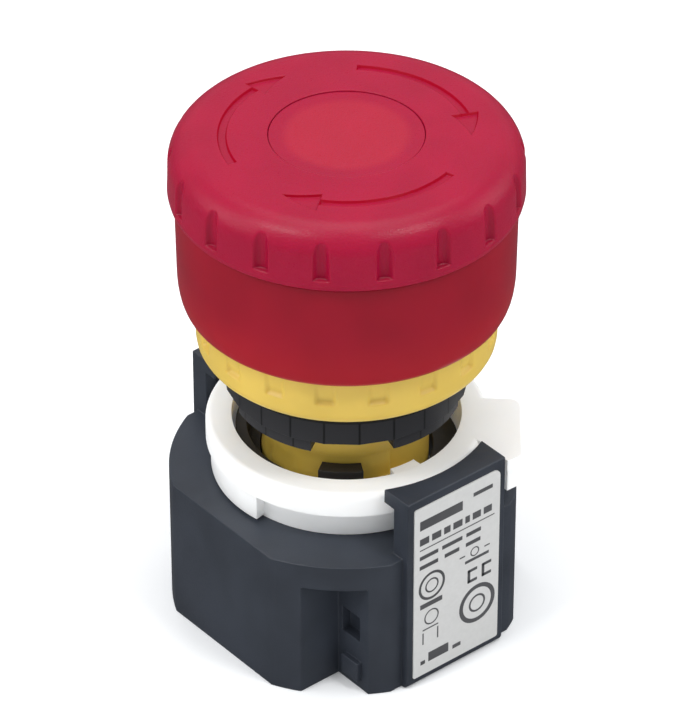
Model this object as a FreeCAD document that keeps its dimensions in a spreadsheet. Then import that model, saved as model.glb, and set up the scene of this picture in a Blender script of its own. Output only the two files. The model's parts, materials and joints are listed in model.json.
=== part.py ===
"""Illuminated emergency stop button, 16 mm series: push to lock, turn to reset.

Millimetres.  The origin is the centre of the contact block's underside, and +Z runs along the
push axis towards the operator.  The name label faces -Y.
"""
import FreeCAD, Part
import math
import os

import Sketcher

os.makedirs("parts", exist_ok=True)
doc = FreeCAD.newDocument("emergency_stop_button")

# ---------------------------------------------------------------- driving dimensions

SIZES = {
    # head
    "head_top": 46.1,
    "head_radius": 14.54,
    "cap_edge_radius": 3.0,
    "cap_rim_height": 40.6,
    "cap_wall": 1.5,
    "lens_radius": 6.33,
    "lens_gap": 0.12,
    "lens_depth": 1.0,
    "notch_count": 18,
    "notch_width": 1.4,
    "notch_floor_radius": 14.02,
    "notch_foot": 41.45,
    "notch_roof": 44.4,
    "notch_phase": 12.3,
    "arrow_count": 3,
    "arrow_inner_radius": 9.65,
    "arrow_outer_radius": 10.4,
    "arrow_depth": 0.15,
    "arrow_sweep": 67.5,
    "arrow_head": 18.3,
    "arrow_phase": 15.5,
    "skirt_radius": 14.0,
    "skirt_bore": 12.75,
    "skirt_rim_height": 30.5,
    "web_bottom": 38.0,
    "web_thickness": 1.5,
    # plunger
    "stem_radius": 5.82,
    "stem_bottom": 15.0,
    "stem_bore": 4.2,
    "stem_wide_bore": 4.7,
    "sleeve_radius": 4.12,
    "sleeve_bore": 2.9,
    "sleeve_bottom": 23.4,
    "pin_radius": 0.68,
    "pin_height": 27.0,
    "pin_inner_end": 3.65,
    "pin_length": 2.15,
    "push_travel": 4.0,
    "pin_travel": 0.6,
    # bushing and panel side
    "bezel_radius": 12.46,
    "bezel_bore": 11.2,
    "bezel_top": 33.0,
    "panel_face": 25.8,
    "bezel_notch_foot": 26.9,
    "bezel_notch_depth": 0.25,
    "bushing_bottom": 13.6,
    "bushing_bore": 5.9,
    "neck_radius": 6.9,
    "thread_crest": 8.0,
    "thread_depth": 0.6,
    "thread_pitch": 1.0,
    "thread_bottom": 20.5,
    "gasket_radius": 11.0,
    "gasket_thickness": 0.7,
    "nut_bottom": 21.1,
    "nut_band_bottom": 22.4,
    "nut_radius": 10.2,
    "nut_lower_radius": 9.7,
    "nut_gap_angle": 41.0,
    "running_gap": 0.09,
    # bayonet ring
    "ring_bottom": 13.45,
    "ring_flange_bottom": 16.3,
    "ring_top": 18.5,
    "ring_radius": 11.8,
    "ring_neck_radius": 10.45,
    "ring_bore": 9.63,
    # contact block
    "block_height": 13.4,
    "block_radius": 14.95,
    "block_flat": 13.5,
    "block_wall": 1.2,
    "tower_face": 14.16,
    "tower_half_width": 5.25,
    "tower_top": 19.25,
    "tower_inner_radius": 12.3,
    "collar_bore": 7.25,
    "collar_radius": 8.8,
    "corner_notch_x": 8.1,
    "corner_notch_y": 8.7,
    "corner_notch_height": 11.0,
    "base_bottom": 3.2,
    "base_top": 4.6,
    "contact_x": 7.5,
    "contact_y": 7.15,
    "strip_width": 2.4,
    "strip_thickness": 0.5,
    "label_width": 9.25,
    "label_height": 17.6,
    "label_thickness": 0.1,
}

sheet = doc.addObject("Spreadsheet::Sheet", "sizes")
for row, (alias, number) in enumerate(SIZES.items(), start=1):
    sheet.set(f"A{row}", alias)
    sheet.set(f"B{row}", str(number))
    sheet.setAlias(f"B{row}", alias)
doc.recompute()


class Size:
    """A number that carries the spreadsheet expression it comes from."""

    def __init__(self, value, text):
        self.value = value
        self.text = text

    def _join(self, other, sign, value):
        text = other.text if isinstance(other, Size) else repr(float(other))
        return Size(value, f"({self.text} {sign} {text})")

    def __add__(self, other):
        return self._join(other, "+", self.value + number(other))

    def __sub__(self, other):
        return self._join(other, "-", self.value - number(other))

    def __mul__(self, other):
        return self._join(other, "*", self.value * number(other))

    def __truediv__(self, other):
        return self._join(other, "/", self.value / number(other))

    def __neg__(self):
        return Size(-self.value, f"(0 - {self.text})")

    def root(self):
        """Square root, for points where a circle meets a straight line."""
        return Size(math.sqrt(self.value), f"sqrt({self.text})")


def number(value):
    """The plain number in a Size or a float."""
    return value.value if isinstance(value, Size) else float(value)


def size(alias):
    """The named cell of the sheet."""
    return Size(float(SIZES[alias]), f"sizes.{alias}")


def chord(radius, offset):
    """Where a circle of this radius meets the line at this offset from its centre."""
    return (radius * radius - offset * offset).root()


def bind(item, prop, value):
    """Give a property its value, tied to the sheet when the value comes from there."""
    if isinstance(value, Size):
        item.setExpression(prop, value.text)
    else:
        setattr(item, prop, value)


# ---------------------------------------------------------------- sketches and features

sub_parts = []


def new_body(label):
    """A PartDesign body whose label names its file."""
    body = doc.addObject("PartDesign::Body", label)
    body.Label = label
    sub_parts.append(body)
    return body


def plane_of(body, role):
    """One of the body's own origin planes."""
    return next(f for f in body.Origin.OriginFeatures if f.Role == role)


def arc_between(start, end, radius):
    """The short arc from start to end; a positive radius turns left, a negative one right."""
    mid = (start + end) * 0.5
    half = (end - start) * 0.5
    left = FreeCAD.Vector(-half.y, half.x, 0).normalize()
    reach = math.sqrt(max(radius * radius - half.Length ** 2, 0.0))
    side = 1.0 if radius > 0 else -1.0
    centre = mid + left * (reach * side)
    through = centre + (mid - centre).normalize() * abs(radius)
    return Part.Arc(start, through, end)


def pin_coordinate(sketch, geometry, point, kind, value):
    """Fix one coordinate of a sketch point, by the axis where it is zero."""
    plain = number(value)
    if abs(plain) < 1e-9:
        axis = -2 if kind == "DistanceX" else -1
        sketch.addConstraint(Sketcher.Constraint("PointOnObject", geometry, point, axis))
        return
    index = sketch.addConstraint(Sketcher.Constraint(kind, -1, 1, geometry, point, plain))
    if isinstance(value, Size):
        sketch.setExpression(f"Constraints[{index}]", value.text)


def new_sketch(body, name, role="XZ_Plane", lift=0.0):
    """A sketch on one of the body's planes, raised along the plane's normal."""
    sketch = body.newObject("Sketcher::SketchObject", name)
    sketch.AttachmentSupport = (plane_of(body, role), "")
    sketch.MapMode = "FlatFace"
    if number(lift):
        sketch.AttachmentOffset = FreeCAD.Placement(
            FreeCAD.Vector(0, 0, number(lift)), FreeCAD.Rotation())
        if isinstance(lift, Size):
            sketch.setExpression("AttachmentOffset.Base.z", lift.text)
    return sketch


def draw(sketch, points):
    """A closed outline.  A point is (x, y), or (x, y, radius) when an arc leads to it."""
    plain = [FreeCAD.Vector(number(p[0]), number(p[1]), 0) for p in points]
    count = len(points)
    ends = []
    for i in range(count):
        start = plain[i - 1]
        end = plain[i]
        if len(points[i]) == 3:
            radius = points[i][2]
            index = sketch.addGeometry(arc_between(start, end, number(radius)), False)
            turns_left = number(radius) > 0
            ends.append((index, 1, 2) if turns_left else (index, 2, 1))
        else:
            index = sketch.addGeometry(Part.LineSegment(start, end), False)
            ends.append((index, 1, 2))
    for i in range(count):
        index, _, last = ends[i]
        following, first, _ = ends[(i + 1) % count]
        sketch.addConstraint(Sketcher.Constraint("Coincident", index, last, following, first))
    for i in range(count):
        index, _, last = ends[i]
        pin_coordinate(sketch, index, last, "DistanceX", points[i][0])
        pin_coordinate(sketch, index, last, "DistanceY", points[i][1])
        if len(points[i]) == 3:
            radius = points[i][2]
            plain_radius = abs(number(radius))
            pinned = sketch.addConstraint(Sketcher.Constraint("Radius", index, plain_radius))
            if isinstance(radius, Size):
                sketch.setExpression(f"Constraints[{pinned}]", f"abs({radius.text})")
    return sketch


def draw_circle(sketch, x, y, radius):
    """A circle with its centre and radius fixed."""
    centre = FreeCAD.Vector(number(x), number(y), 0)
    circle = Part.Circle(centre, FreeCAD.Vector(0, 0, 1), number(radius))
    index = sketch.addGeometry(circle, False)
    pinned = sketch.addConstraint(Sketcher.Constraint("Radius", index, number(radius)))
    if isinstance(radius, Size):
        sketch.setExpression(f"Constraints[{pinned}]", radius.text)
    if number(x) == 0 and number(y) == 0:
        sketch.addConstraint(Sketcher.Constraint("Coincident", index, 3, -1, 1))
    else:
        pin_coordinate(sketch, index, 3, "DistanceX", x)
        pin_coordinate(sketch, index, 3, "DistanceY", y)
    return sketch


def z_axis(body):
    """The body's own Z axis, for turned and patterned features."""
    return next(f for f in body.Origin.OriginFeatures if f.Role == "Z_Axis")


def turn(body, name, points, angle=360.0, start=0.0, cut=False):
    """Revolve a (radius, height) outline about Z, counterclockwise from the start angle."""
    sketch = draw(new_sketch(body, name + "_profile"), points)
    if start:
        sketch.AttachmentOffset = FreeCAD.Placement(
            FreeCAD.Vector(), FreeCAD.Rotation(FreeCAD.Vector(0, 1, 0), start))
    kind = "PartDesign::Groove" if cut else "PartDesign::Revolution"
    feature = body.newObject(kind, name)
    feature.Profile = sketch
    feature.ReferenceAxis = (sketch, ["V_Axis"])
    bind(feature, "Angle", angle)
    doc.recompute()
    return feature


def pad(body, name, points, bottom, height):
    """Raise an XY outline from a height."""
    sketch = draw(new_sketch(body, name + "_outline", "XY_Plane", bottom), points)
    feature = body.newObject("PartDesign::Pad", name)
    feature.Profile = sketch
    bind(feature, "Length", height)
    doc.recompute()
    return feature


def pocket(body, name, outline, bottom, height):
    """Cut upwards from a height; the outline is points, or one circle as (x, y, radius)."""
    before = body.Shape.Volume
    sketch = new_sketch(body, name + "_outline", "XY_Plane", bottom)
    if isinstance(outline, tuple):
        draw_circle(sketch, *outline)
    else:
        draw(sketch, outline)
    feature = body.newObject("PartDesign::Pocket", name)
    feature.Profile = sketch
    feature.Reversed = True
    bind(feature, "Length", height)
    doc.recompute()
    if body.Shape.Volume >= before - 1e-6:
        raise RuntimeError(f"{name} cuts nothing from {body.Label}")
    return feature


def repeat_around(body, feature, count):
    """Repeat a feature evenly around Z."""
    pattern = body.newObject("PartDesign::PolarPattern", feature.Name + "_pattern")
    pattern.Originals = [feature]
    pattern.Axis = (z_axis(body), [""])
    pattern.Angle = 360.0
    bind(pattern, "Occurrences", count)
    body.Tip = pattern
    doc.recompute()
    return pattern


def round_edges(body, name, radius, wanted):
    """Fillet the edges for which wanted(edge) is true."""
    names = [f"Edge{i}" for i, edge in enumerate(body.Shape.Edges, start=1) if wanted(edge)]
    if not names:
        raise RuntimeError(f"{name} finds no edge on {body.Label}")
    base = body.Tip
    feature = body.newObject("PartDesign::Fillet", name)
    feature.Base = (base, names)
    bind(feature, "Radius", radius)
    body.Tip = feature
    doc.recompute()
    return feature


def on_circle(radius, height):
    """A test for full-circle edges at a radius and a height."""
    def wanted(edge):
        if not isinstance(edge.Curve, Part.Circle):
            return False
        close = abs(edge.Curve.Radius - number(radius)) < 0.02
        return close and abs(edge.Curve.Center.z - number(height)) < 0.02
    return wanted


def upright_at(x, y, low, high):
    """A test for vertical edges that stand at a point, between two heights."""
    def wanted(edge):
        if len(edge.Vertexes) != 2:
            return False
        a, b = (v.Point for v in edge.Vertexes)
        upright = math.hypot(a.x - b.x, a.y - b.y) < 1e-4
        placed = math.hypot(a.x - number(x), a.y - number(y)) < 0.05
        inside = min(a.z, b.z) > low - 0.05 and max(a.z, b.z) < high + 0.05
        return upright and placed and inside
    return wanted


def place(body, angle=0.0, x=0.0, y=0.0, z=0.0):
    """Turn a sub-part about Z and move it."""
    turned = FreeCAD.Rotation(FreeCAD.Vector(0, 0, 1), angle)
    body.Placement = FreeCAD.Placement(
        FreeCAD.Vector(number(x), number(y), number(z)), turned)
    for axis, value in (("x", x), ("y", y), ("z", z)):
        if isinstance(value, Size):
            body.setExpression(f"Placement.Base.{axis}", value.text)


def rectangle(x0, y0, x1, y1):
    """Corner points of an upright rectangle."""
    return [(x0, y0), (x1, y0), (x1, y1), (x0, y1)]


def coil(label, mean_radius, wire_radius, bottom, height, pitch):
    """A compression or torsion spring: a round wire swept along a helix."""
    helix = doc.addObject("Part::Helix", label + "_path")
    helix.Radius = mean_radius
    helix.Height = height
    helix.Pitch = pitch
    helix.SegmentLength = 1.0
    helix.Placement.Base.z = number(bottom)
    if isinstance(bottom, Size):
        helix.setExpression("Placement.Base.z", bottom.text)
    wire = doc.addObject("Part::Circle", label + "_section")
    wire.Radius = wire_radius
    upright = FreeCAD.Rotation(FreeCAD.Vector(1, 0, 0), 90)
    wire.Placement = FreeCAD.Placement(FreeCAD.Vector(mean_radius, 0, number(bottom)), upright)
    if isinstance(bottom, Size):
        wire.setExpression("Placement.Base.z", bottom.text)
    spring = doc.addObject("Part::Sweep", label)
    spring.Sections = [wire]
    spring.Spine = helix
    spring.Solid = True
    spring.Frenet = True
    spring.Label = label
    sub_parts.append(spring)
    doc.recompute()
    return spring


# ---------------------------------------------------------------- head

head_top = size("head_top")
cap_rim = size("cap_rim_height")
cap_bore = size("head_radius") - size("cap_wall")
lens_seat = size("lens_radius") + size("lens_gap")
lens_floor = head_top - size("lens_depth")
web_bottom = size("web_bottom")
web_top = web_bottom + size("web_thickness")
LENS_LEDGE = 0.9
CAP_PLATE = 1.9


def make_button_cap():
    """The mushroom cap: a domed plate and a notched side wall."""
    body = new_body("button_cap")
    underside = head_top - CAP_PLATE
    top_corner = (size("head_radius") - 0.14, head_top - 0.22)
    turn(body, "cap_shell", [
        (lens_seat - LENS_LEDGE, underside),
        (lens_seat - LENS_LEDGE, lens_floor),
        (lens_seat, lens_floor),
        (lens_seat, head_top),
        top_corner,
        (size("head_radius"), cap_rim + 0.4),
        (size("head_radius") - 0.1, cap_rim),
        (cap_bore, cap_rim),
        (cap_bore, underside),
    ])
    round_edges(body, "cap_edge", size("cap_edge_radius"), on_circle(*top_corner))
    half = size("notch_width") / 2
    outside = size("head_radius") + 1
    notch = pocket(body, "grip_notch", rectangle(size("notch_floor_radius"), -half, outside, half),
                   size("notch_foot"), size("notch_roof") - size("notch_foot"))
    repeat_around(body, notch, size("notch_count"))
    cut_arrows(body)
    place(body, SIZES["notch_phase"] - 90)


def cut_arrows(body):
    """Three shallow clockwise arrows in the cap's top."""
    inner = SIZES["arrow_inner_radius"]
    outer = SIZES["arrow_outer_radius"]
    middle = (inner + outer) / 2
    head_half = 1.1
    tail = math.radians(SIZES["arrow_phase"] - SIZES["notch_phase"])
    base = tail - math.radians(SIZES["arrow_sweep"])
    tip = base - math.radians(SIZES["arrow_head"])

    def at(radius, angle):
        return (radius * math.cos(angle), radius * math.sin(angle))

    outline = [
        at(outer, tail),
        (*at(outer, base), -outer),
        at(middle + head_half, base),
        at(middle, tip),
        at(middle - head_half, base),
        at(inner, base),
        (*at(inner, tail), inner),
    ]
    arrow = pocket(body, "turn_arrow", outline, head_top - 0.09 - size("arrow_depth"), 0.5)
    repeat_around(body, arrow, size("arrow_count"))


def make_cap_lens():
    """Translucent disc let into the top of the cap, with a slightly dished face."""
    body = new_body("cap_lens")
    radius = size("lens_radius")
    turn(body, "lens", [
        (0, lens_floor), (radius, lens_floor), (radius, head_top - 0.1),
        (radius - 0.1, head_top), (radius - 0.5, head_top), (0, head_top - 0.1)])


def make_diffuser_disc():
    """White disc that spreads the lamp's light under the lens."""
    body = new_body("diffuser_disc")
    radius = lens_seat - LENS_LEDGE - 0.1
    bottom = head_top - 2.05
    turn(body, "disc", [(0, bottom), (radius, bottom), (radius, lens_floor), (0, lens_floor)])


def make_light_guide():
    """Clear rod with a flared top that carries the lamp's light up to the cap."""
    body = new_body("light_guide")
    radius = size("sleeve_bore") - 0.1
    top = head_top - 2.1
    turn(body, "guide", [
        (0, size("pin_height") - 0.4), (radius, size("pin_height") - 0.4), (radius, top - 3),
        (5.0, top - 0.8), (5.0, top), (0, top)])


def make_button_skirt():
    """Smooth lower shell of the head, with the web that joins it to the reset sleeve."""
    body = new_body("button_skirt")
    rim = size("skirt_rim_height")
    bore = size("skirt_bore")
    outer = size("skirt_radius")
    turn(body, "skirt", [
        (bore, rim),
        (outer - 0.85, rim),
        (outer - 0.1, rim + 2.8, 5.2),
        (outer, cap_rim - 0.25),
        (cap_bore - 0.1, cap_rim - 0.25),
        (cap_bore - 0.1, cap_rim + 2.8),
        (cap_bore - 1.1, cap_rim + 2.8),
        (cap_bore - 1.1, web_top),
        (size("sleeve_radius") + 0.08, web_top),
        (size("sleeve_radius") + 0.08, web_bottom),
        (bore, web_bottom),
    ])


def make_reset_sleeve():
    """Sleeve that turns with the head, with two cam pockets for the latch pins."""
    body = new_body("reset_sleeve")
    radius = size("sleeve_radius")
    bottom = size("sleeve_bottom")
    turn(body, "sleeve", [
        (size("sleeve_bore"), bottom), (radius, bottom),
        (radius, bottom + 0.4), (radius - 0.4, bottom + 0.4),
        (radius - 0.4, bottom + 0.9), (radius, bottom + 0.9),
        (radius, web_top), (radius + 1.9, web_top),
        (radius + 1.9, web_top + 0.8), (size("sleeve_bore"), web_top + 0.8)])
    low = size("pin_height") - 0.9
    high = size("pin_height") + 0.9
    inner = size("pin_inner_end") - 0.1
    cam = turn(body, "cam_pocket", [(inner, low), (radius + 1, low), (radius + 1, high),
                                    (inner, high)], 54.0, cut=True)
    repeat_around(body, cam, 2)
    place(body, 78.0)


def make_split_ring(label, inner, outer, bottom, height):
    """Snap ring with a gap, turned through less than a full circle."""
    body = new_body(label)
    turn(body, label + "_wire", rectangle(inner, bottom, outer, bottom + height), 320.0)
    place(body, 200.0)


# ---------------------------------------------------------------- plunger

def make_plunger_stem():
    """Tube that slides in the bushing, with a spring flange and holes for the latch pins."""
    body = new_body("plunger_stem")
    radius = size("stem_radius")
    bottom = size("stem_bottom")
    flange = web_bottom - 5.6
    top = web_bottom - 0.1
    step = size("sleeve_bottom") + 1.0
    turn(body, "stem", [
        (size("stem_wide_bore"), bottom), (radius, bottom),
        (radius, bottom + 0.4), (radius - 0.4, bottom + 0.4),
        (radius - 0.4, bottom + 1.0), (radius, bottom + 1.0),
        (radius, flange), (radius + 2, flange),
        (radius + 2, flange + 0.8), (radius, flange + 0.8),
        (radius, top), (size("stem_bore"), top),
        (size("stem_bore"), step), (size("stem_wide_bore"), step)])
    sketch = new_sketch(body, "latch_hole_circle", "XZ_Plane")
    draw_circle(sketch, 0, size("pin_height"), size("pin_radius") + 0.06)
    hole = body.newObject("PartDesign::Pocket", "latch_hole")
    hole.Profile = sketch
    hole.Type = "ThroughAll"
    hole.Midplane = True


def make_latch_pin(label, side):
    """Radial pin that slides out under the bushing's catch as the head goes down."""
    pin = doc.addObject("Part::Cylinder", label)
    pin.Label = label
    sub_parts.append(pin)
    bind(pin, "Radius", size("pin_radius"))
    bind(pin, "Height", size("pin_length"))
    outward = FreeCAD.Rotation(FreeCAD.Vector(1, 0, 0), -90 * side)
    start = size("pin_inner_end") * side
    pin.Placement = FreeCAD.Placement(
        FreeCAD.Vector(0, number(start), SIZES["pin_height"]), outward)
    pin.setExpression("Placement.Base.y", start.text)
    pin.setExpression("Placement.Base.z", size("pin_height").text)


# ---------------------------------------------------------------- bushing, gasket and nut

def thread_outline(bottom, top, crest, start_crest):
    """Ridge points of a thread, from the bottom up: crest, root, crest, one per half pitch."""
    depth = size("thread_depth")
    half_pitch = size("thread_pitch") / 2
    points = []
    step = 0
    height = bottom + half_pitch * (0 if start_crest else 1)
    while number(height) < number(top) - 1e-6:
        radius = crest if (step % 2 == 0) else crest - depth
        points.append((radius, height))
        height = height + half_pitch
        step += 1
    return points


def make_bushing():
    """Bezel cup, threaded barrel and neck in one moulding, with the latch pins' catch."""
    body = new_body("bushing")
    bore = size("bushing_bore")
    bottom = size("bushing_bottom")
    neck = size("neck_radius")
    root = size("thread_crest") - size("thread_depth")
    panel = size("panel_face")
    bezel = size("bezel_radius")
    floor = panel + 1.5
    hub_top = web_bottom - 5.6 - size("push_travel") - 0.15
    catch = size("pin_height") - size("push_travel") - 1.0
    pin_top = size("pin_height") + 0.9
    thread = thread_outline(size("thread_bottom"), panel - 0.1, size("thread_crest"), False)
    outline = [
        (bore + 0.45, bottom), (neck, bottom), (neck, 18.85), (neck + 0.1, 18.85),
        (neck + 0.1, 19.2), (neck + 0.2, 19.2), (neck + 0.2, size("thread_bottom")),
        (root, size("thread_bottom")), *thread, (root, panel),
        (bezel - 0.96, panel), (bezel, panel + 1.0, 1.05),
        (bezel, size("bezel_top")), (size("bezel_bore"), size("bezel_top")),
        (size("bezel_bore"), floor), (bore + 1.4, floor), (bore + 1.4, hub_top),
        (bore, hub_top), (bore, pin_top),
        (bore + size("pin_travel"), pin_top - size("push_travel")),
        (bore + size("pin_travel"), catch), (bore, catch),
        (bore, bottom + 4.6), (bore + 0.7, bottom + 4.6), (bore + 0.7, bottom + 3.4),
        (bore, bottom + 3.4), (bore, bottom + 2.5), (bore + 0.45, bottom + 2.5),
    ]
    turn(body, "barrel", outline)
    reach = bezel - size("bezel_notch_depth")
    half = size("notch_width") / 2
    notch = pocket(body, "bezel_notch", rectangle(reach, -half, bezel + 1, half),
                   size("bezel_notch_foot"), size("bezel_top") - size("bezel_notch_foot"))
    notch.Profile[0].AttachmentOffset = FreeCAD.Placement(
        notch.Profile[0].AttachmentOffset.Base,
        FreeCAD.Rotation(FreeCAD.Vector(0, 0, 1), SIZES["notch_phase"] + 18.0))
    repeat_around(body, notch, size("notch_count"))
    lug_low = size("ring_bottom") + 1.85
    lug = turn(body, "bayonet_lug", rectangle(neck - 0.3, lug_low, 9.2, lug_low + 1.3), 24.0)
    repeat_around(body, lug, 2)
    place(body, -108.0)


def make_panel_gasket():
    """Flat sealing ring between the bezel and the panel."""
    body = new_body("panel_gasket")
    bottom = size("panel_face") - size("gasket_thickness")
    turn(body, "gasket", rectangle(size("thread_crest") + 0.15, bottom, size("gasket_radius"),
                                   size("panel_face")))


def make_stem_seal():
    """Rubber ring in the barrel that wipes the stem."""
    body = new_body("stem_seal")
    bottom = size("bushing_bottom") + 3.45
    turn(body, "seal", rectangle(size("stem_radius") + 0.05, bottom, size("bushing_bore") + 0.65,
                                 bottom + 1.1))


def make_lock_nut():
    """Faceted and castellated ring nut that clamps the panel."""
    body = new_body("lock_nut")
    band_bottom = size("nut_band_bottom")
    band_top = size("panel_face") - size("gasket_thickness") - 0.05
    bottom = size("nut_bottom")
    band = body.newObject("PartDesign::AdditivePrism", "facet_band")
    band.Polygon = 22
    bind(band, "Circumradius", size("nut_radius"))
    bind(band, "Height", band_top - band_bottom)
    band.Placement.Rotation = FreeCAD.Rotation(FreeCAD.Vector(0, 0, 1), 7.2)
    band.Placement.Base.z = number(band_bottom)
    band.setExpression("Placement.Base.z", band_bottom.text)
    doc.recompute()
    turn(body, "lower_band", rectangle(0, bottom, size("nut_lower_radius"), band_bottom + 0.1))
    crest = size("thread_crest") + size("running_gap")
    thread = thread_outline(bottom - 0.6, band_top + 0.6, crest, False)
    turn(body, "thread_bore", [(0, bottom - 0.6), (crest, bottom - 0.6), *thread,
                               (crest, band_top + 0.6), (0, band_top + 0.6)], cut=True)
    gap = turn(body, "castle_gap", rectangle(crest - 1, bottom - 1, size("nut_lower_radius") + 1,
                                             band_bottom), size("nut_gap_angle"), cut=True)
    repeat_around(body, gap, 4)
    place(body, -147.3)


# ---------------------------------------------------------------- bayonet ring and collar

def make_mounting_collar():
    """Black collar of the contact block that takes the barrel's end and holds the ring."""
    body = new_body("mounting_collar")
    bore = size("collar_bore")
    outer = size("collar_radius")
    foot = size("block_height") - 1.15
    trap = size("ring_bottom") + 1.1
    top = trap + 0.65
    turn(body, "collar", [
        (bore, foot), (outer, foot), (outer, trap), (outer + 0.65, trap), (outer + 0.65, top),
        (bore, top)])
    turn(body, "locating_key", rectangle(bore, top - 0.1, bore + 1.3, 18.4), 25.6, -145.8)
    turn(body, "side_wall", rectangle(bore + 1.1, top - 0.1, outer + 0.5, 17.4), 70.0, 122.0)
    turn(body, "far_wall", rectangle(bore + 1.1, top - 0.1, outer + 0.5, 17.4), 70.0, 0.0)


def lever_outline(inset):
    """Plan of the finger lever, drawn in by an inset."""
    side = size("tower_half_width") + 0.45 + inset
    return [
        (9.0 - inset, -5.2 - inset),
        (12.18 - 1.4 * inset, -8.05 - 0.1 * inset),
        (7.1, -14.03 + 1.3 * inset),
        (side, -13.9 + inset),
        (side, -9.6),
    ]


def make_bayonet_ring():
    """White locking ring with its bayonet tabs, thick wall sector and two-tier finger lever."""
    body = new_body("bayonet_ring")
    bottom = size("ring_bottom")
    shoulder = size("ring_flange_bottom")
    top = size("ring_top")
    outer = size("ring_radius")
    neck = size("ring_neck_radius")
    bore = size("ring_bore")
    turn(body, "ring", [
        (bore - 0.6, bottom), (neck, bottom), (neck, shoulder), (outer, shoulder), (outer, top),
        (bore, top), (bore, bottom + 1.0), (bore - 0.6, bottom + 1.0)])
    round_edges(body, "ring_edge", 0.6, on_circle(outer, top))
    thick = rectangle(neck - 0.3, bottom + 0.2, 11.4, shoulder + 0.1)
    turn(body, "thick_wall", thick, 59.6, 130.0)
    tab = turn(body, "bayonet_tab", rectangle(8.3, shoulder + 0.4, bore + 0.3, top - 0.5), 16.0,
               -104.0)
    repeat_around(body, tab, 2)
    pad(body, "lever_foot", lever_outline(0.3), bottom + 1.65, 2.6)
    pad(body, "lever_plate", lever_outline(0.0), top - 1.1, 1.1)
    low = number(top) - 1.1
    round_edges(body, "lever_corner", 0.9, upright_at(12.18, -8.05, low, number(top)))
    round_edges(body, "lever_tip", 0.6, upright_at(7.1, -14.03, low, number(top)))


# ---------------------------------------------------------------- contact block

def full_outline():
    """Outside of the contact block, counterclockwise from the +X flat."""
    radius = size("block_radius")
    flat = size("block_flat")
    half = chord(radius, flat)
    return [
        (flat, -half, radius), (flat, half), (half, flat, radius), (-half, flat),
        (-flat, half, radius), (-flat, -half), (-half, -flat, radius), (half, -flat),
    ]


def cavity_outline(clearance):
    """Inside of the contact block: it steps round the two corner notches."""
    radius = size("block_radius") - size("block_wall") - clearance
    flat = size("block_flat") - size("block_wall") - clearance
    half = chord(radius, flat)
    step_x = size("corner_notch_x") - size("block_wall") - clearance
    step_y = size("corner_notch_y") - size("block_wall") - clearance
    far_x = chord(radius, step_y)
    far_y = chord(radius, step_x)
    return [
        (flat, -half, radius), (flat, half), (far_x, step_y, radius), (step_x, step_y),
        (step_x, far_y), (half, flat, radius), (-half, flat),
        (-flat, half, radius), (-flat, -half), (-far_x, -step_y, radius), (-step_x, -step_y),
        (-step_x, -far_y), (-half, -flat, radius), (half, -flat),
    ]


def tower_outline():
    """Plan of a tower: flat outside, concave towards the ring."""
    half = size("tower_half_width")
    face = size("tower_face")
    inner = size("tower_inner_radius")
    corner = chord(inner, half)
    return [(-half, -corner, -inner), (-half, -face), (half, -face), (half, -corner)]


def make_contact_housing():
    """Contact block's shell: flats, two towers, a top plate and notched corners."""
    body = new_body("contact_housing")
    height = size("block_height")
    wall = size("block_wall")
    half = size("tower_half_width")
    pad(body, "shell", full_outline(), 0.0, height)
    plate = pad(body, "tower_plate",
                rectangle(-half, -size("tower_face"), half, -size("block_flat") + 0.6),
                0.0, size("tower_top"))
    tower = pad(body, "tower_head", tower_outline(), height - wall, size("tower_top") - height + wall)
    pattern = body.newObject("PartDesign::PolarPattern", "tower_pair")
    pattern.Originals = [plate, tower]
    pattern.Axis = (z_axis(body), [""])
    pattern.Angle = 360.0
    pattern.Occurrences = 2
    body.Tip = pattern
    doc.recompute()
    recess = pocket(body, "tower_recess",
                    rectangle(-half + 1.1, -size("tower_face") + 1.5, half - 1.1, -9.5),
                    height, size("tower_top") - height - 1.1)
    repeat_around(body, recess, 2)
    undercut = pocket(body, "plate_undercut", rectangle(-half - 0.1, -12.3, half + 0.1, -9.5),
                      height, size("tower_top") - height - 1.4)
    repeat_around(body, undercut, 2)
    pocket(body, "cavity", cavity_outline(0.0), 0.0, height - wall)
    pocket(body, "collar_hole", (0, 0, size("collar_radius") + 0.05), height - wall - 0.5, wall + 1)
    far = size("block_radius") + 1
    notch = pocket(body, "corner_notch",
                   rectangle(-far, -far, -size("corner_notch_x"), -size("corner_notch_y")),
                   0.0, size("corner_notch_height"))
    repeat_around(body, notch, 2)
    notch_face = -size("corner_notch_x")
    bump = pad(body, "snap_bump", rectangle(notch_face - 0.5, -11.7, notch_face + 0.3, -9.6), 1.0, 1.9)
    repeat_around(body, bump, 2)
    window = pocket(body, "snap_window", rectangle(notch_face - 1, -11.4, notch_face + 0.9, -9.2),
                    4.9, 2.5)
    repeat_around(body, window, 2)

    def top_front(edge):
        middle = edge.CenterOfMass
        return (abs(abs(middle.y) - SIZES["tower_face"]) < 0.01
                and abs(middle.z - SIZES["tower_top"]) < 0.01)
    round_edges(body, "tower_edge", 0.15, top_front)

    def plate_foot(edge):
        middle = edge.CenterOfMass
        return abs(abs(middle.y) - SIZES["tower_face"]) < 0.01 and abs(middle.z) < 0.01
    round_edges(body, "plate_foot_edge", 0.55, plate_foot)
    pocket(body, "lever_relief", [(7.6, -12.97), (16.0, -16.0), (14.4, -5.42)], 0.0, height + 1)


def strip_slots():
    """Where the contact strips stand: (x, y) of each strip's centre."""
    x = size("contact_x")
    y = size("contact_y")
    return [(x, y), (-x, y), (-x, -y), (x, -y)]


def slot_at(x, y, gap):
    """Outline of a strip's section, with a gap around it."""
    half_width = size("strip_width") / 2 + gap
    half_thick = size("strip_thickness") / 2 + gap
    return rectangle(x - half_width, y - half_thick, x + half_width, y + half_thick)


LAMP_STRIP_Y = 9.6


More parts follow.
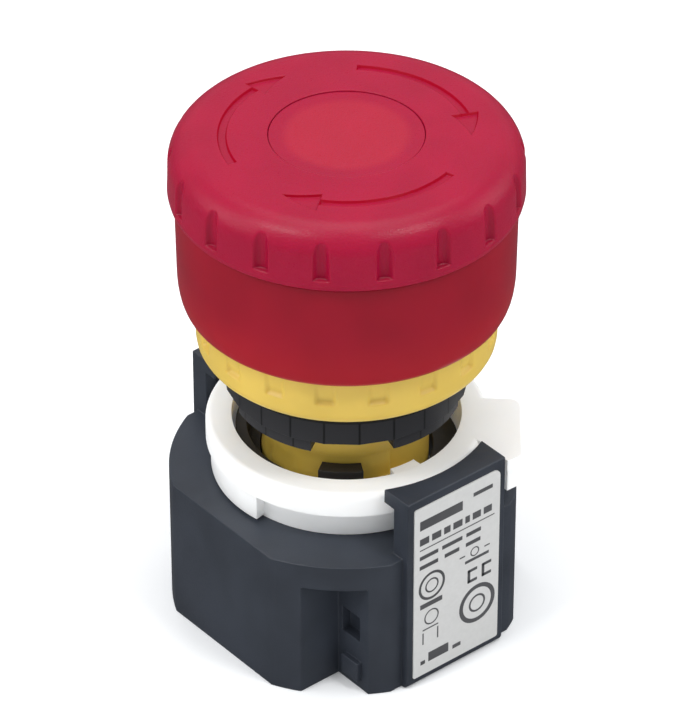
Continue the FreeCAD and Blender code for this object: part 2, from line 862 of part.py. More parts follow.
def make_terminal_base():
    """Insert that closes the contact chamber and holds the terminals."""
    body = new_body("terminal_base")
    bottom = size("base_bottom")
    thickness = size("base_top") - bottom
    pad(body, "plate", cavity_outline(0.04), bottom, thickness)
    for i, (x, y) in enumerate(strip_slots(), start=1):
        pocket(body, f"contact_slot_{i}", slot_at(x, y, 0.03), bottom - 0.5, thickness + 1)
    lamp_slot = rectangle(-size("strip_width") / 2 - 0.03, LAMP_STRIP_Y - 0.28,
                          size("strip_width") / 2 + 0.03, LAMP_STRIP_Y + 0.28)
    slot = pocket(body, "lamp_slot", lamp_slot, bottom - 0.5, thickness + 1)
    repeat_around(body, slot, 2)


def make_contact_strip(label, x_side, y_side):
    """Fixed contact: tab below the base, riser, and a contact arm over the moving bridge."""
    body = new_body(label)
    inner = size("contact_y") - size("strip_thickness") / 2
    outer = size("contact_y") + size("strip_thickness") / 2
    arm_bottom = size("base_top") + 6.83
    arm_top = arm_bottom + size("strip_thickness")
    sketch = new_sketch(body, "strip_profile", "YZ_Plane")
    draw(sketch, [(inner, 0.4), (outer, 0.4), (outer, arm_top), (3.4, arm_top), (3.4, arm_bottom),
                  (inner, arm_bottom)])
    strip = body.newObject("PartDesign::Pad", "strip")
    strip.Profile = sketch
    strip.Midplane = True
    bind(strip, "Length", size("strip_width"))
    doc.recompute()
    angle = 0.0 if y_side > 0 else 180.0
    place(body, angle, size("contact_x") * x_side)


def make_lamp_terminal(label, side):
    """Straight tab that feeds the lamp board."""
    body = new_body(label)
    half = size("strip_width") / 2
    pad(body, "tab", rectangle(-half, LAMP_STRIP_Y - 0.25, half, LAMP_STRIP_Y + 0.25), 0.4,
        size("base_top") - 0.6)
    place(body, 0.0 if side > 0 else 180.0)


def make_led_board():
    """Circuit board under the base that carries the lamp's resistor."""
    body = new_body("led_board")
    bottom = size("base_bottom") - 0.85
    pad(body, "board", rectangle(-2.5, -10.6, 2.5, 10.6), bottom, 0.8)
    slot = pocket(body, "tab_slot", rectangle(-1.25, LAMP_STRIP_Y - 0.3, 1.25, LAMP_STRIP_Y + 0.3),
                  bottom - 0.5, 1.8)
    repeat_around(body, slot, 2)


def make_lamp_post():
    """Hollow post that lifts the lamp up inside the plunger."""
    body = new_body("lamp_post")
    turn(body, "post", rectangle(0.9, size("base_top"), 2.2, 17.5))


def make_led_lamp():
    """Domed lamp on top of the post."""
    body = new_body("led_lamp")
    turn(body, "lamp", [(0, 17.5), (2.1, 17.5), (2.1, 18.3), (1.6, 18.3), (1.6, 20.7),
                        (0, 22.3, 1.6)])


def make_contact_carriage():
    """Plunger of the contact block, with a cage for each moving contact."""
    body = new_body("contact_carriage")
    top = size("stem_bottom") - 0.1
    bottom = size("base_top") + size("push_travel") + 0.3
    turn(body, "tube", [
        (3.6, bottom), (5.4, bottom), (5.4, top), (2.6, top), (2.6, top - 1.3), (3.6, top - 1.3)])
    cage = pad(body, "cage", rectangle(5.0, -1.8, 9.2, 1.8), bottom, 3.2)
    repeat_around(body, cage, 2)
    middle = size("contact_x")
    window = pocket(body, "cage_window", rectangle(middle - 1.2, -3, middle + 1.2, 3),
                    bottom + 0.6, 2.0)
    repeat_around(body, window, 2)


def make_moving_contact(label, side):
    """Bridge that joins two fixed contacts, with a contact pad on each end."""
    body = new_body(label)
    bottom = size("base_top") + 6.4
    pad(body, "bridge", rectangle(-1.1, -5.0, 1.1, 5.0), bottom, 0.3)
    pad_top = pad(body, "contact_pad", rectangle(-0.7, 3.6, 0.7, 4.8), bottom + 0.25, 0.15)
    repeat_around(body, pad_top, 2)
    place(body, 0.0, size("contact_x") * side)


def make_name_label():
    """Thin rating label on the front tower."""
    body = new_body("name_label")
    half = size("label_width") / 2
    face = size("tower_face")
    pad(body, "label", rectangle(-half, -face - size("label_thickness"), half, -face), 0.85,
        size("label_height"))

    def short_edge(edge):
        return abs(edge.Length - SIZES["label_thickness"]) < 1e-3

    def upper_right(edge):
        middle = edge.CenterOfMass
        return short_edge(edge) and middle.x > 0 and middle.z > 10

    def others(edge):
        return short_edge(edge) and not upper_right(edge)
    round_edges(body, "label_corner", 0.7, upper_right)
    round_edges(body, "label_small_corner", 0.2, others)


def make_springs():
    """All the wire springs."""
    seat = size("panel_face") + 1.5
    coil("return_spring", 9.6, 0.45, seat + 0.5, 9.6, 1.8)
    coil("reset_spring", 6.9, 0.28, size("web_bottom") - 4.4, 3.6, 0.8)
    coil("carriage_spring", 3.1, 0.2, size("base_top") + 0.25, 8.4, 1.2)
    for i, side in enumerate((1, -1), start=1):
        spring = coil(f"contact_spring_{i}", 0.75, 0.15, 0.2, 1.0, 0.5)
        lift = size("base_top") + size("push_travel") + 0.3 + 0.6
        spring.Placement.Base = FreeCAD.Vector(SIZES["contact_x"] * side, 0, number(lift))
        spring.setExpression("Placement.Base.x", (size("contact_x") * side).text)
        spring.setExpression("Placement.Base.z", lift.text)


# ---------------------------------------------------------------- build, check and write

def build():
    """Make every sub-part."""
    make_button_cap()
    make_cap_lens()
    make_diffuser_disc()
    make_light_guide()
    make_button_skirt()
    make_reset_sleeve()
    make_split_ring("sleeve_clip", size("sleeve_radius") - 0.38, size("sleeve_radius") + 0.48,
                    size("sleeve_bottom") + 0.42, 0.46)
    make_plunger_stem()
    make_split_ring("stem_retaining_ring", size("stem_radius") - 0.38,
                    size("stem_radius") + 0.43, size("stem_bottom") + 0.42, 0.56)
    make_latch_pin("latch_pin_1", 1)
    make_latch_pin("latch_pin_2", -1)
    make_bushing()
    make_panel_gasket()
    make_stem_seal()
    make_lock_nut()
    make_mounting_collar()
    make_bayonet_ring()
    make_contact_housing()
    make_terminal_base()
    for i, (x_side, y_side) in enumerate(((1, 1), (-1, 1), (-1, -1), (1, -1)), start=1):
        make_contact_strip(f"contact_terminal_{i}", x_side, y_side)
    make_lamp_terminal("lamp_terminal_1", 1)
    make_lamp_terminal("lamp_terminal_2", -1)
    make_led_board()
    make_lamp_post()
    make_led_lamp()
    make_contact_carriage()
    make_moving_contact("moving_contact_1", 1)
    make_moving_contact("moving_contact_2", -1)
    make_name_label()
    make_springs()
    doc.recompute()


def check():
    """Stop if any object failed, or any sub-part has no valid solid."""
    for item in doc.Objects:
        if "Invalid" in item.State or "Error" in item.State:
            raise RuntimeError(f"{item.Label} failed: {item.State}")
    for item in sub_parts:
        shape = item.Shape
        if shape.isNull() or not shape.isValid() or not shape.Solids:
            raise RuntimeError(f"{item.Label} has no valid solid")


build()
check()
for item in sub_parts:
    item.Shape.exportStep(f"parts/{item.Label}.step")
    box = item.Shape.BoundBox
    print(f"{item.Label:20s} {item.Shape.Volume:9.2f} mm3  z {box.ZMin:6.2f} to {box.ZMax:6.2f}"
          f"  r {max(box.XMax, box.YMax):6.2f}  solids {len(item.Shape.Solids)}")
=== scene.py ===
"""Looks of the panel emergency stop button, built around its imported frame.  Lengths are metres."""

import json
import math

import bmesh
import bpy
import numpy as np
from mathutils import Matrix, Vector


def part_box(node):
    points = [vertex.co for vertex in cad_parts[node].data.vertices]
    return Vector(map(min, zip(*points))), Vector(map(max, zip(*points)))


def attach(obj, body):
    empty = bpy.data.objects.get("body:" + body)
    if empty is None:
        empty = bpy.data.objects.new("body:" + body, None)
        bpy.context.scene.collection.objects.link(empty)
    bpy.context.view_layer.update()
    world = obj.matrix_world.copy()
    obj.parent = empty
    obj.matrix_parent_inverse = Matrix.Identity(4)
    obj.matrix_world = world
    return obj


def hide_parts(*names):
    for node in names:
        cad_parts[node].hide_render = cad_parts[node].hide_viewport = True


bl_info = {
    "name": "Emergency stop button",
    "version": (1, 0, 0),
    "blender": (4, 5, 0),
    "location": "View3D > Sidebar > Stop Button",
    "description": "Builds a panel emergency stop button with its contact block",
    "category": "Object",
}

MM = 0.001
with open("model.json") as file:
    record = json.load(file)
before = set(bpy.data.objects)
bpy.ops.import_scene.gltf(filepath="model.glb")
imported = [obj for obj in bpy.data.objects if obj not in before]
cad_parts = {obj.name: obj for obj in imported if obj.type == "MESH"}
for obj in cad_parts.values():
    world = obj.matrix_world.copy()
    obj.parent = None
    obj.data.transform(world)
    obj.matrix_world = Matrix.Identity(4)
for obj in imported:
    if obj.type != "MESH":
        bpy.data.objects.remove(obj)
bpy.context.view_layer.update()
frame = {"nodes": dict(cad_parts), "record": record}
CAP_LOW, CAP_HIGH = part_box("button_cap")
SKIRT_LOW, SKIRT_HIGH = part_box("button_skirt")
BUSH_LOW, BUSH_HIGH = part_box("bushing")
LABEL_LOW, LABEL_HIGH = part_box("name_label")
NOTCHES = 18
NOTCH_PHASE = math.radians(12.3 - 90.0)
ARROW_RADIUS = 10.03 * MM
ARROW_HALF_WIDTH = 0.375 * MM
ARROW_HEAD_HALF_WIDTH = 1.15 * MM
ARROW_SWEEP = math.radians(67.5)
ARROW_HEAD = math.radians(18.3)
ARROW_PHASE = math.radians(15.5 - 90.0)
LIGHT_DISTANCE = 0.8
# name, azimuth and elevation in degrees, size in metres, share of the key light's power
LIGHTS = [
    ("overhead", 50.0, 80.0, 0.6, 0.8),
    ("left_front", 175.0, 56.0, 0.15, 0.50),
    ("right_front", -75.0, 56.0, 0.15, 0.48),
    ("left_side", 150.0, 25.0, 0.5, 0.5),
    ("right_side", -30.0, 22.0, 0.5, 0.36),
]

# ---------------------------------------------------------------- settings


class CapSettings(bpy.types.PropertyGroup):
    """Sizes and colour of the mushroom cap."""

    radius: bpy.props.FloatProperty(
        name="Radius", description="Largest radius of the cap", unit="LENGTH",
        default=CAP_HIGH.x)
    edge: bpy.props.FloatProperty(
        name="Edge radius", description="Rounding between the top and the side", unit="LENGTH",
        default=3.0 * MM)
    notch_width: bpy.props.FloatProperty(
        name="Notch width", description="Width of one grip notch", unit="LENGTH",
        default=1.4 * MM)
    notch_depth: bpy.props.FloatProperty(
        name="Notch depth", description="Depth of one grip notch", unit="LENGTH",
        default=0.4 * MM)
    arrow_depth: bpy.props.FloatProperty(
        name="Arrow depth", description="Depth of the engraved arrows", unit="LENGTH",
        default=0.22 * MM)
    colour: bpy.props.FloatVectorProperty(
        name="Colour", description="Colour of the cap", subtype="COLOR", size=3,
        default=(0.335, 0.003, 0.032), min=0.0, max=1.0)


class ShellSettings(bpy.types.PropertyGroup):
    """Colours of the other mouldings."""

    skirt: bpy.props.FloatVectorProperty(
        name="Skirt", description="Colour of the head's lower shell", subtype="COLOR", size=3,
        default=(0.28, 0.002, 0.015), min=0.0, max=1.0)
    bezel: bpy.props.FloatVectorProperty(
        name="Bezel", description="Colour of the bezel and barrel", subtype="COLOR", size=3,
        default=(0.70, 0.485, 0.082), min=0.0, max=1.0)
    ring: bpy.props.FloatVectorProperty(
        name="Ring", description="Colour of the locking ring", subtype="COLOR", size=3,
        default=(0.93, 0.93, 0.92), min=0.0, max=1.0)
    housing: bpy.props.FloatVectorProperty(
        name="Housing", description="Colour of the contact block", subtype="COLOR", size=3,
        default=(0.031, 0.037, 0.050), min=0.0, max=1.0)
    bevel: bpy.props.FloatProperty(
        name="Edge rounding", description="Rounding of moulded edges", unit="LENGTH",
        default=0.12 * MM)


class StageSettings(bpy.types.PropertyGroup):
    """Camera and light."""

    azimuth: bpy.props.FloatProperty(
        name="Azimuth", description="Camera's angle round the button", subtype="ANGLE",
        default=math.radians(-39.7))
    elevation: bpy.props.FloatProperty(
        name="Elevation", description="Camera's angle above the floor", subtype="ANGLE",
        default=math.radians(35.7))
    distance: bpy.props.FloatProperty(
        name="Distance", description="From the camera to the button", unit="LENGTH",
        default=0.4146)
    lens: bpy.props.FloatProperty(
        name="Lens", description="Focal length in millimetres", default=249.65)
    sky: bpy.props.FloatProperty(
        name="Sky", description="Brightness of the studio above the button", default=0.62)
    key: bpy.props.FloatProperty(
        name="Key light", description="Power of the overhead light in watts", default=3.3)
    aim_height: bpy.props.FloatProperty(
        name="Aim height", description="Height of the point the camera looks at", unit="LENGTH",
        default=0.0236)


# ---------------------------------------------------------------- surfaces

def mesh_piece(name, points, faces, body, slot, *nodes):
    """A piece from points (n, 3) and faces, riding on a body in place of CAD nodes."""
    mesh = bpy.data.meshes.new(name)
    mesh.from_pydata(points.reshape(-1, 3).tolist(), [], faces)
    mesh.validate()
    mesh.shade_smooth()
    piece = bpy.data.objects.new(name, mesh)
    bpy.context.collection.objects.link(piece)
    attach(piece, body)
    if nodes:
        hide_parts(*nodes)
    return piece


def grid_faces(rows, columns, close_rows, flip=False):
    """Quads of a rows x columns grid whose columns wrap round, and its rows too if asked."""
    last = rows if close_rows else rows - 1
    row, column = np.meshgrid(np.arange(last), np.arange(columns), indexing="ij")
    next_row = (row + 1) % rows
    next_column = (column + 1) % columns
    quads = np.stack([row * columns + column, row * columns + next_column,
                      next_row * columns + next_column, next_row * columns + column], axis=-1)
    quads = quads.reshape(-1, 4)
    return (quads[:, ::-1] if flip else quads).tolist()


def round_corners(corners, steps=6):
    """A closed (radius, height) outline from (r, z, rounding) corners.

    Each corner is replaced by the arc that touches both of its sides: the touching points lie
    rounding / tan(half the inner angle) from the corner, and the arc is swept evenly.
    """
    spots = np.array([corner[:2] for corner in corners], float)
    outline = []
    for i, (here, corner) in enumerate(zip(spots, corners)):
        size = corner[2]
        if size <= 0:
            outline.append(here[None])
            continue
        back = spots[i - 1] - here
        ahead = spots[(i + 1) % len(spots)] - here
        back_unit = back / np.linalg.norm(back)
        ahead_unit = ahead / np.linalg.norm(ahead)
        half = math.acos(np.clip(back_unit @ ahead_unit, -1, 1)) / 2
        reach = min(size / math.tan(half), 0.49 * np.linalg.norm(back),
                    0.49 * np.linalg.norm(ahead))
        radius = reach * math.tan(half)
        middle = (back_unit + ahead_unit) / np.linalg.norm(back_unit + ahead_unit)
        centre = here + middle * radius / math.sin(half)
        first = here + back_unit * reach - centre
        last = here + ahead_unit * reach - centre
        sweep = math.atan2(first[0] * last[1] - first[1] * last[0], first @ last)
        turn = np.linspace(0, sweep, steps)[:, None]
        side = np.array([-first[1], first[0]])
        outline.append(centre + first * np.cos(turn) + side * np.sin(turn))
    return np.concatenate(outline)


def refine(outline, longest, zone=None):
    """The same closed outline with extra points, so that no side is longer than a length.

    A zone (r low, r high, z low, z high) limits this to the sides whose middles lie in it.
    """
    following = np.roll(outline, -1, axis=0)
    pieces = []
    for start, end in zip(outline, following):
        middle = (start + end) / 2
        inside = zone is None or (zone[0] < middle[0] < zone[1] and zone[2] < middle[1] < zone[3])
        count = max(1, math.ceil(np.linalg.norm(end - start) / longest)) if inside else 1
        share = np.arange(count)[:, None] / count
        pieces.append(start + (end - start) * share)
    return np.concatenate(pieces)


def smooth_step(value):
    """0 below 0, 1 above 1, and 3v^2 - 2v^3 between."""
    value = np.clip(value, 0, 1)
    return value * value * (3 - 2 * value)


def wrapped(angle):
    """An angle brought between -pi and pi."""
    return (angle + math.pi) % (2 * math.pi) - math.pi


def lathe_points(outline, angles, radius=None, height=None):
    """Points of an outline turned about Z: x = r cos a, y = r sin a.

    radius and height, when given, are whole (rows, columns) arrays that stand for r and z.
    """
    r = np.repeat(outline[:, :1], len(angles), axis=1) if radius is None else radius
    z = np.repeat(outline[:, 1:2], len(angles), axis=1) if height is None else height
    return np.stack([r * np.cos(angles), r * np.sin(angles), z], axis=-1)


def box_points(low, high):
    """The eight corners and six outward faces of an upright box."""
    x, y, z = zip(low, high)
    points = np.array([(x[i], y[j], z[k]) for k in (0, 1) for j in (0, 1) for i in (0, 1)])
    faces = [(0, 2, 3, 1), (4, 5, 7, 6), (0, 1, 5, 4), (2, 6, 7, 3), (0, 4, 6, 2), (1, 3, 7, 5)]
    return points, faces


def join_shells(shells):
    """Several (points, faces) shells as one."""
    points, faces, start = [], [], 0
    for shell_points, shell_faces in shells:
        shell_points = np.asarray(shell_points).reshape(-1, 3)
        points.append(shell_points)
        faces += [tuple(index + start for index in face) for face in shell_faces]
        start += len(shell_points)
    return np.concatenate(points), faces


def refined_copy(name, node, bevel, angle=28.0):
    """A CAD node's surface, merged, with flat areas made whole and its edges rounded."""
    source = frame["nodes"][node]
    mesh = source.data.copy()
    mesh.name = name
    shape = bmesh.new()
    shape.from_mesh(mesh)
    bmesh.ops.remove_doubles(shape, verts=shape.verts, dist=0.002 * MM)
    bmesh.ops.dissolve_limit(shape, angle_limit=math.radians(0.4), verts=shape.verts,
                             edges=shape.edges)
    shape.to_mesh(mesh)
    shape.free()
    mesh.materials.clear()
    if "custom_normal" in mesh.attributes:
        mesh.attributes.remove(mesh.attributes["custom_normal"])
    mesh.shade_smooth()
    mesh.set_sharp_from_angle(angle=math.radians(angle))
    piece = bpy.data.objects.new(name, mesh)
    bpy.context.collection.objects.link(piece)
    rounding = piece.modifiers.new("moulded_edges", "BEVEL")
    rounding.width = bevel
    rounding.segments = 2
    rounding.limit_method = "ANGLE"
    rounding.angle_limit = math.radians(angle)
    rounding.use_clamp_overlap = True
    rounding.harden_normals = True
    body = next(b for b, nodes in frame["record"]["behaviour"]["bodies"].items() if node in nodes)
    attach(piece, body)
    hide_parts(node)
    return piece


SLOTS = {row["node"]: row["material_slot"] for row in frame["record"]["subparts"]}

# ---------------------------------------------------------------- materials


class Number:
    """A number inside a material; arithmetic on it adds Math nodes."""

    def __init__(self, graph, socket):
        self.graph = graph
        self.socket = socket

    def math(self, operation, *values):
        """One Math node."""
        inputs = {i: value for i, value in enumerate(values)}
        return self.graph.node("ShaderNodeMath", {"operation": operation}, inputs)

    def __add__(self, other):
        return self.math("ADD", self, other)

    __radd__ = __add__

    def __sub__(self, other):
        return self.math("SUBTRACT", self, other)

    def __rsub__(self, other):
        return self.math("SUBTRACT", other, self)

    def __mul__(self, other):
        return self.math("MULTIPLY", self, other)

    __rmul__ = __mul__

    def __truediv__(self, other):
        return self.math("DIVIDE", self, other)

    def __pow__(self, other):
        return self.math("POWER", self, other)

    def __abs__(self):
        return self.math("ABSOLUTE", self)

    def __mod__(self, other):
        return self.math("FLOORED_MODULO", self, other)

    def step(self, low, high):
        """0 at low and 1 at high, eased."""
        return self.graph.node(
            "ShaderNodeMapRange", {"interpolation_type": "SMOOTHSTEP"},
            {"Value": self, "From Min": low, "From Max": high})


def least(first, second):
    """The smaller of two arrays or material numbers."""
    if isinstance(first, Number):
        return first.math("MINIMUM", first, second)
    return np.minimum(first, second)


def most(first, second):
    """The larger of two arrays or material numbers."""
    if isinstance(first, Number):
        return first.math("MAXIMUM", first, second)
    return np.maximum(first, second)


def bearing(y, x):
    """Angle of (x, y) from +X, for arrays or material numbers."""
    return y.math("ARCTAN2", y, x) if isinstance(y, Number) else np.arctan2(y, x)


class Graph:
    """A material's or world's node tree and its main shader."""

    def __init__(self, owner, shader="Principled BSDF", place="Object"):
        self.material = owner
        owner.use_nodes = True
        self.nodes = owner.node_tree.nodes
        self.links = owner.node_tree.links
        self.surface = self.nodes[shader]
        self.place = self.node("ShaderNodeTexCoord", {}, {}, place)

    def feed(self, socket, value):
        """Link a Number or set a plain value."""
        if isinstance(value, Number):
            self.links.new(value.socket, socket)
        else:
            socket.default_value = value

    def node(self, kind, settings, inputs, output=0):
        """A node with its settings made first, then its inputs."""
        node = self.nodes.new(kind)
        for name, value in settings.items():
            if name == "stops":
                ramp = node.color_ramp
                while len(ramp.elements) < len(value):
                    ramp.elements.new(0.5)
                for element, (position, colour) in zip(ramp.elements, value):
                    element.position = position
                    element.color = (*colour, 1.0)
            else:
                setattr(node, name, value)
        for name, value in inputs.items():
            self.feed(node.inputs[name], value)
        return Number(self, node.outputs[output])

    def noise(self, scale, detail=2.0, roughness=0.5):
        """Cloudy noise with features of about 1 / scale metres."""
        return self.node("ShaderNodeTexNoise", {}, {
            "Vector": self.place, "Scale": scale, "Detail": detail, "Roughness": roughness},
            "Fac")

    def cells(self, scale):
        """Distance to the nearest of many scattered points."""
        return self.node("ShaderNodeTexVoronoi", {}, {"Vector": self.place, "Scale": scale},
                         "Distance")

    def mix(self, share, first, second):
        """One colour turning into another."""
        return self.node("ShaderNodeMix", {"data_type": "RGBA"},
                         {"Factor": share, 6: as_colour(first), 7: as_colour(second)}, 2)

    def axis(self, name):
        """One object coordinate in metres."""
        return self.node("ShaderNodeSeparateXYZ", {}, {0: self.place}, name)

    def set(self, **values):
        """Principled inputs by name, with underscores for spaces."""
        for name, value in values.items():
            self.feed(self.surface.inputs[name.replace("_", " ")], value)

    def bump(self, height, distance, strength=1.0):
        """Fine relief on the whole surface."""
        self.set(Normal=self.node("ShaderNodeBump", {}, {
            "Height": height, "Distance": distance, "Strength": strength}))


def as_colour(value):
    """An RGB triple as a socket's four numbers; a Number stays as it is."""
    return value if isinstance(value, Number) else (*value[:3], 1.0)


def shade(colour, factor):
    """A colour made lighter or darker."""
    return tuple(min(1.0, channel * factor) for channel in colour[:3])


def moulded(name, colour, roughness, grain=0.004 * MM, grain_size=0.12 * MM, drift=0.12,
            scatter=0.0, scatter_radius=(1.0, 0.5, 0.3), specular=0.5):
    """Moulded plastic: colour drift, a fine eroded grain and slightly uneven gloss."""
    graph = Graph(bpy.data.materials.new(name))
    clouds = graph.noise(180.0, 3.0)
    fine = graph.noise(1.0 / grain_size, 4.0, 0.6)
    specks = graph.cells(0.8 / grain_size)
    graph.set(Base_Color=graph.mix(clouds.step(0.3, 0.7), shade(colour, 1 - drift),
                                   shade(colour, 1 + drift)),
              Roughness=roughness + (fine - 0.5) * 0.18 + (clouds - 0.5) * 0.08,
              Specular_IOR_Level=specular)
    if scatter:
        graph.set(Subsurface_Weight=scatter, Subsurface_Scale=1.2 * MM,
                  Subsurface_Radius=scatter_radius)
    graph.bump(fine * 0.7 + specks * 0.3, grain)
    return graph


def metal(name, colour, roughness):
    """Drawn or plated metal: fine streaks and small stains."""
    graph = Graph(bpy.data.materials.new(name))
    stains = graph.noise(400.0, 3.0)
    streaks = graph.noise(5400.0, 2.0)
    graph.set(Base_Color=graph.mix(stains.step(0.35, 0.75), colour, shade(colour, 0.8)),
              Metallic=1.0, Roughness=roughness + (streaks - 0.5) * 0.2)
    graph.bump(streaks, 0.002 * MM)
    return graph


def make_materials():
    """Every material of the object, by slot."""
    cap = bpy.context.scene.stop_cap
    shell = bpy.context.scene.stop_shell
    made = {
        "red_cap": cap_plastic("red_cap", tuple(cap.colour), False),
        "red_lens": cap_plastic("red_lens", tuple(cap.colour), True),
        "red_skirt": skirt_plastic(tuple(shell.skirt)),
        "yellow_plastic": moulded("yellow_plastic", tuple(shell.bezel), 0.36, drift=0.05,
                                  scatter=0.15, scatter_radius=(1.0, 0.7, 0.2)),
        "white_plastic": moulded("white_plastic", tuple(shell.ring), 0.40, drift=0.02,
                                 scatter=0.2, scatter_radius=(1.0, 0.9, 0.8)),
        "black_plastic": moulded("black_plastic", (0.024, 0.022, 0.022), 0.5, drift=0.2,
                                 specular=0.35),
        "nut_plastic": nut_plastic(),
        "housing_plastic": moulded("housing_plastic", tuple(shell.housing), 0.46, drift=0.12,
                                   specular=0.4),
        "black_rubber": moulded("black_rubber", (0.012, 0.012, 0.012), 0.75, drift=0.2),
        "clear_plastic": clear_plastic(),
        "lamp_lens": moulded("lamp_lens", (0.85, 0.80, 0.62), 0.2, scatter=0.5),
        "board": moulded("board", (0.02, 0.16, 0.06), 0.35, grain_size=0.5 * MM),
        "contact_metal": metal("contact_metal", (0.80, 0.77, 0.68), 0.3),
        "spring_steel": metal("spring_steel", (0.56, 0.56, 0.58), 0.25),
        "label": label_foil(),
    }
    # Painted light: a faint blue-white emission lightens the white ring, standing in for light
    # scattered through the plastic.
    made["white_plastic"].set(Emission_Color=(0.95, 0.98, 1.0, 1.0), Emission_Strength=0.06)
    return {slot: graph.material for slot, graph in made.items()}


def cap_plastic(name, colour, lens):
    """Eroded translucent red, with painted shade darkening the arrows' walls.

    The lens shows the lamp chamber under it as a soft lighter disc, a painted glow of light coming
    up through the lens.
    """
    graph = Graph(bpy.data.materials.new(name))
    x = graph.axis("X")
    y = graph.axis("Y")
    clouds = graph.noise(220.0, 3.0)
    fine = graph.noise(9000.0, 3.0, 0.65)
    specks = graph.cells(5200.0)
    base = graph.mix(clouds.step(0.3, 0.7), shade(colour, 0.95), shade(colour, 1.04))
    roughness = 0.32 + (fine - 0.5) * 0.3
    if lens:
        # Painted glow: a lighter disc in the lens colour stands in for light from the lamp chamber
        # shining through.
        painted_glow = 1.0 - ((x * x + y * y) ** 0.5).step(4.5 * MM, 5.6 * MM)
        base = graph.mix(painted_glow * 0.4, base, (0.45, 0.022, 0.040))
    else:
        # Painted shade: a thin band along the arrows' walls on the top turns dark red with no sheen,
        # standing in for the shade in the engraved grooves.
        wall = 1.0 - abs(arrow_distance(x, y) - 0.04 * MM).step(0.02 * MM, 0.08 * MM)
        on_top = graph.axis("Z").step(CAP_HIGH.z - 0.5 * MM, CAP_HIGH.z - 0.45 * MM)
        painted_wall_shade = graph.node("ShaderNodeBsdfPrincipled", {}, {
            "Base Color": (0.30, 0.0, 0.010, 1.0), "Roughness": 0.8, "Specular IOR Level": 0.0})
        mixed = graph.node("ShaderNodeMixShader", {}, {
            0: wall * on_top * 0.85, 1: Number(graph, graph.surface.outputs[0]), 2: painted_wall_shade})
        graph.feed(graph.nodes["Material Output"].inputs["Surface"], mixed)
    graph.set(Base_Color=base, Roughness=roughness, Specular_IOR_Level=0.24,
              Subsurface_Weight=0.2, Subsurface_Scale=1.0 * MM,
              Subsurface_Radius=(1.0, 0.12, 0.10))
    graph.bump(fine * 0.6 + specks * 0.4, 0.022 * MM)
    return graph


def skirt_plastic(colour):
    """Smooth deep red, lighter towards the rim: painted light from the yellow bezel shining up
    through it.
    """
    graph = Graph(bpy.data.materials.new("red_skirt"))
    z = graph.axis("Z")
    clouds = graph.noise(160.0, 2.0)
    # Painted light: the lower rim is mixed towards a lighter orange red, a painted glow from the
    # yellow bezel below.
    rim = 1.0 - z.step(31.0 * MM, 36.0 * MM)
    base = graph.mix(clouds.step(0.3, 0.7), shade(colour, 0.93), shade(colour, 1.06))
    base = graph.mix(rim * 0.45, base, (0.42, 0.008, 0.014))
    fine = graph.noise(7000.0, 3.0)
    graph.set(Base_Color=base, Roughness=0.33 + (fine - 0.5) * 0.12, Specular_IOR_Level=0.28,
              Subsurface_Weight=0.25, Subsurface_Scale=1.0 * MM,
              Subsurface_Radius=(1.0, 0.15, 0.10))
    graph.bump(fine, 0.003 * MM)
    return graph


def nut_plastic():
    """Dark moulding with a thin line of painted shade at each of the nut's 22 corners, where a fine
    groove would be.
    """
    graph = moulded("nut_plastic", (0.026, 0.026, 0.030), 0.5, drift=0.15, specular=0.4)
    angle = graph.node("ShaderNodeMath", {"operation": "ARCTAN2"},
                       {0: graph.axis("Y"), 1: graph.axis("X")})
    share = (angle + math.radians(140.1)) * (22 / (2 * math.pi))
    beside = graph.node("ShaderNodeMath", {"operation": "PINGPONG"}, {0: share, 1: 0.5})
    # Painted shade: the colour darkens in a thin line along each corner, standing in for the shade
    # of a fine groove.
    line = 1.0 - beside.step(0.01, 0.045)
    base = graph.mix(line, (0.026, 0.026, 0.030), (0.006, 0.006, 0.007))
    graph.set(Base_Color=base)
    return graph


def clear_plastic():
    """Clear light guide with faint flow marks."""
    graph = Graph(bpy.data.materials.new("clear_plastic"))
    flow = graph.noise(300.0, 2.0)
    graph.set(Base_Color=graph.mix(flow, (0.92, 0.94, 0.95), (0.98, 0.98, 0.98)),
              Roughness=0.05 + flow * 0.08, Transmission_Weight=0.9, IOR=1.49)
    return graph


def label_foil():
    """Pale printed foil with a faint paper-like mottle."""
    graph = Graph(bpy.data.materials.new("label"))
    mottle = graph.noise(2500.0, 4.0)
    graph.set(Base_Color=graph.mix(mottle, (0.55, 0.55, 0.54), (0.61, 0.61, 0.60)),
              Roughness=0.42 + (mottle - 0.5) * 0.2)
    graph.bump(mottle, 0.003 * MM)
    return graph


def paint(piece, material):
    """Give a piece one material."""
    piece.data.materials.clear()
    piece.data.materials.append(material)


# ---------------------------------------------------------------- pieces


def cap_outline(cap):
    """Outside and inside of the cap as a closed (radius, height) outline."""
    radius = cap.radius
    top = CAP_HIGH.z
    low = CAP_LOW.z
    wall = 1.5 * MM
    seat = 6.36 * MM
    return [
        (seat - 0.9 * MM, top - 1.9 * MM, 0),
        (seat - 0.9 * MM, top - 1.0 * MM, 0),
        (seat, top - 1.0 * MM, 0),
        (seat, top, 0.1 * MM),
        (radius - 0.14 * MM, top - 0.22 * MM, cap.edge),
        (radius, low + 0.5 * MM, 0.3 * MM),
        (radius - 0.12 * MM, low, 0.12 * MM),
        (radius - wall, low, 0.1 * MM),
        (radius - wall, top - 1.9 * MM, 0),
    ]


